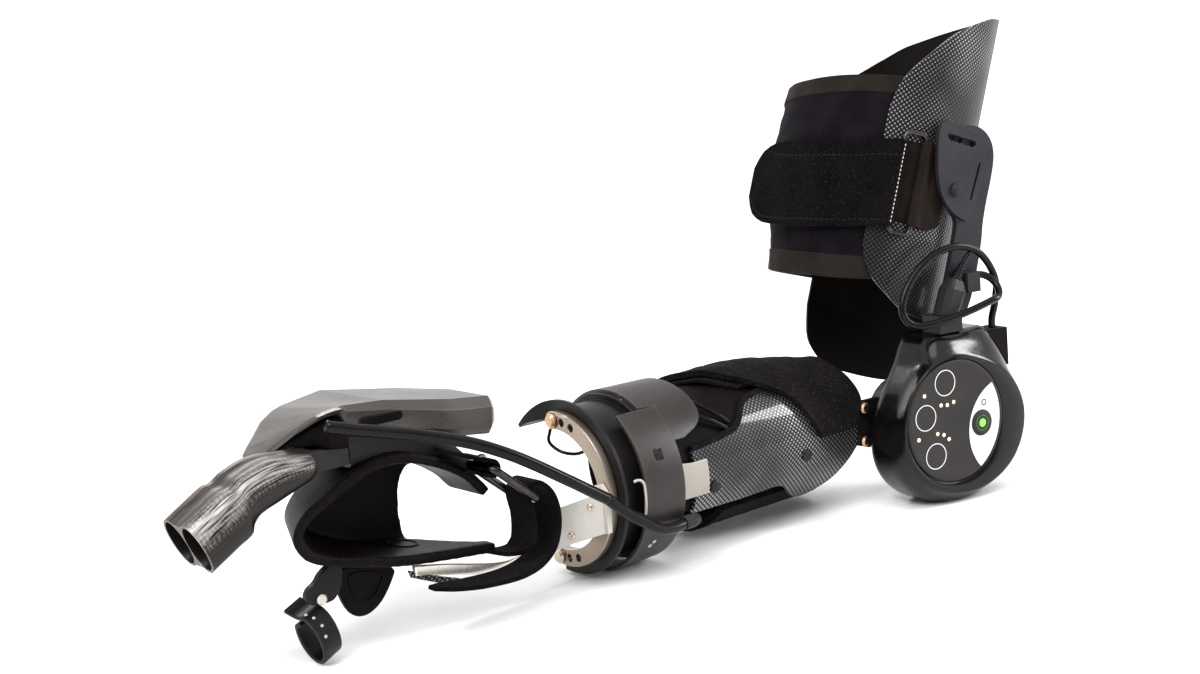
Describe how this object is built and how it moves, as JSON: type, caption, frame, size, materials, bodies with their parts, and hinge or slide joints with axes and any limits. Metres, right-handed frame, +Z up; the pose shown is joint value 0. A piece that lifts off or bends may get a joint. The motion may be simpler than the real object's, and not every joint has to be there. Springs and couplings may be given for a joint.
{
  "type": "powered arm orthosis",
  "caption": "Powered arm brace with an upper-arm cuff, elbow motor housing, forearm trough, turning wrist ring and a hand piece with finger tubes.",
  "frame": {"origin": "bottom centre of the bounding box, on the table the brace lies on", "axes": "+X forwards from the elbow to the hand, +Y to the outer side with the motor housing, +Z up"},
  "size_m": [0.5846, 0.173, 0.2914],
  "materials": {
    "carbon": "glossy carbon weave",
    "twill": "glossy twill carbon",
    "neoprene": "black neoprene with stitched bindings",
    "pile": "black hook-and-loop pile",
    "tab": "folded dark webbing",
    "foam": "soft black foam with a smooth skin",
    "anodised": "dark satin anodised",
    "gloss": "glossy black moulding",
    "panel": "matte dark grey overlay",
    "lit": "lit green ring on dark button",
    "cable": "black jacket",
    "moulded": "matte dark grey moulding",
    "dark": "black satin",
    "aluminium": "satin champagne",
    "nickel": "satin nickel",
    "steel": "bright screw heads"
  },
  "bodies": {
    "upper_arm": {"upper_arm_shell": "carbon", "upper_arm_liner": "foam", "upper_arm_wrap": "neoprene", "upper_arm_strap": "pile", "loop_tab": "tab", "strap_loop": "dark", "upright_bar": "anodised", "upright_plate": "anodised", "plate_spacer": "dark", "plate_rivet": "steel", "elbow_housing": "gloss", "housing_block": "dark", "control_panel": "panel", "power_button": "lit", "cable_coil": "cable", "cable_connector": "dark", "plug_socket": "dark", "cable_plug": "dark", "plug_relief": "cable", "plug_lead": "cable"},
    "forearm": {"forearm_bracket": "dark", "bracket_bolt_1": "steel", "bracket_bolt_2": "steel", "forearm_shell": "carbon", "forearm_liner": "foam", "forearm_wrap": "neoprene", "forearm_rivet_1": "dark", "forearm_rivet_2": "dark", "sensor_wire_1": "cable", "sensor_wire_2": "cable", "rotator_cover": "moulded", "rotator_hood": "moulded", "link_bar": "nickel", "cover_clip": "steel", "cable_gland": "dark", "hand_cable_rear": "cable"},
    "wrist_ring": {"rotator_ring": "dark", "ring_arc": "aluminium", "arc_bolt_top": "steel", "arc_bolt_bottom": "steel", "ring_wire": "cable", "wrist_bracket": "nickel"},
    "hand": {"hand_cable": "cable", "hand_bar": "nickel", "palm_pad": "foam", "hand_frame": "dark", "hand_motor": "moulded", "hand_strap": "pile", "hand_strap_loop": "dark", "thumb_pad": "foam", "thumb_arm": "dark", "thumb_ring": "dark", "thumb_rivet": "nickel", "finger_fork": "dark"},
    "fingers": {"finger_link": "dark", "finger_tubes": "twill"}
  },
  "joints": [
    {"name": "elbow_flex", "type": "hinge", "parent": "upper_arm", "child": "forearm", "pos_m": [-0.18183, 0.02891, 0.05], "axis": [0, -1, 0], "range_deg": [-65, 30]},
    {"name": "forearm_rotate", "type": "hinge", "parent": "forearm", "child": "wrist_ring", "pos_m": [0.04468, 0.01885, 0.0515], "axis": [0.9848, 0.1736, 0], "range_deg": [-40, 40], "deforming": ["hand_cable_rear"]},
    {"name": "wrist_flex", "type": "hinge", "parent": "wrist_ring", "child": "hand", "pos_m": [0.0759, 0.03756, 0.035], "axis": [0.1736, -0.9848, 0], "range_deg": [-25, 25], "deforming": ["hand_cable"]},
    {"name": "hand_open", "type": "hinge", "parent": "hand", "child": "fingers", "pos_m": [0.21876, 0.05665, 0.105], "axis": [0.1736, -0.9848, 0], "range_deg": [-20, 20]}
  ]
}
